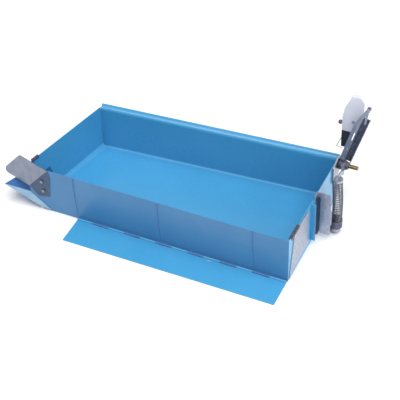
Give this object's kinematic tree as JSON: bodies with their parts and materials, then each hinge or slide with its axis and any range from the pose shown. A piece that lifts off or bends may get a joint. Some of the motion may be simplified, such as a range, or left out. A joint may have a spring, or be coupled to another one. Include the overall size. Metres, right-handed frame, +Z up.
{
  "type": "sheet steel trough",
  "caption": "Shallow painted sheet-steel trough with a drop apron along the front, a corner pouring spout with a bent guard plate and a sprung hand lever at the other end.",
  "frame": {"origin": "middle of the trough's underside, midway between its ends and 215 mm behind its front wall", "axes": "+X along the trough to the lever end, +Y to the back wall, +Z up"},
  "size_m": [1.2166, 0.611, 0.465],
  "materials": {
    "blue_paint": "gloss blue enamel over folded sheet steel",
    "stainless": "brushed stainless sheet",
    "galvanised": "bright zinc plated steel, satin",
    "dark_steel": "dark phosphated steel",
    "yellow_zinc": "yellow passivated zinc plate",
    "spring_steel": "oiled spring steel wire",
    "pale_cover": "pale grey moulded plastic",
    "black_rubber": "matt rubber",
    "black_plastic": "moulded nylon",
    "pale_nub": "moulded foot"
  },
  "bodies": {
    "trough": {"back_panel": "blue_paint", "back_rim": "blue_paint", "coil_spring": "spring_steel", "end_plate": "galvanised", "end_stiffener": "blue_paint", "flat_washer": "galvanised", "floor_panel": "blue_paint", "front_panel": "blue_paint", "front_ribs": "blue_paint", "hanger_back": "dark_steel", "hanger_front": "dark_steel", "hinge_leaf": "blue_paint", "hinge_pin": "galvanised", "left_end_panel": "blue_paint", "pivot_bracket": "galvanised", "pivot_shaft": "yellow_zinc", "plate_bracket": "galvanised", "right_end_panel": "blue_paint", "rim_clip": "dark_steel", "rim_rivets": "blue_paint", "rim_tab": "dark_steel", "rubber_washer": "black_rubber", "seat_bracket": "galvanised", "shaft_nut": "dark_steel", "spout_bracket": "galvanised", "spout_far_panel": "blue_paint", "spout_floor": "blue_paint", "spout_near_panel": "blue_paint", "spout_nub": "pale_nub", "spring_cap": "galvanised", "spring_cup": "dark_steel", "spring_plate": "galvanised", "tab_bolts": "stainless", "tab_bracket": "stainless", "tab_nuts": "stainless"},
    "apron": {"apron_sheet": "blue_paint"},
    "lever": {"lever_hub": "galvanised", "crank_plate": "galvanised", "spring_shoe": "galvanised", "lever_channel": "galvanised", "arm_gusset": "galvanised", "stay_bar": "galvanised", "short_link": "galvanised", "knuckle_bolt": "galvanised", "knuckle_head": "galvanised", "stay_bolt": "galvanised", "lever_cover": "pale_cover", "cover_back": "pale_cover", "cover_bolts": "galvanised", "cover_pin": "galvanised", "grip_block": "black_plastic"},
    "knob": {"pull_knob": "dark_steel"},
    "bail": {"wire_bail": "spring_steel"}
  },
  "joints": [
    {"name": "apron_hinge", "type": "hinge", "parent": "trough", "child": "apron", "pos_m": [0, -0.2209, 0.0039], "axis": [-1, 0, 0], "range_deg": [0, 88]},
    {"name": "lever_pivot", "type": "hinge", "parent": "trough", "child": "lever", "pos_m": [0.47, 0.237, 0.17], "axis": [1, 0, 0], "range_deg": [0, 20], "stiffness_Nm_per_rad": 60, "springref_deg": -11.46, "deforming": ["coil_spring"]},
    {"name": "knob_pull", "type": "slide", "parent": "lever", "child": "knob", "axis": [-1, 0, 0], "range_m": [0, 0.008], "stiffness_N_per_m": 400, "springref_m": -0.004},
    {"name": "bail_swing", "type": "hinge", "parent": "lever", "child": "bail", "pos_m": [0.452, 0.26, 0.268], "axis": [-1, 0, 0], "range_deg": [0, 50]}
  ]
}
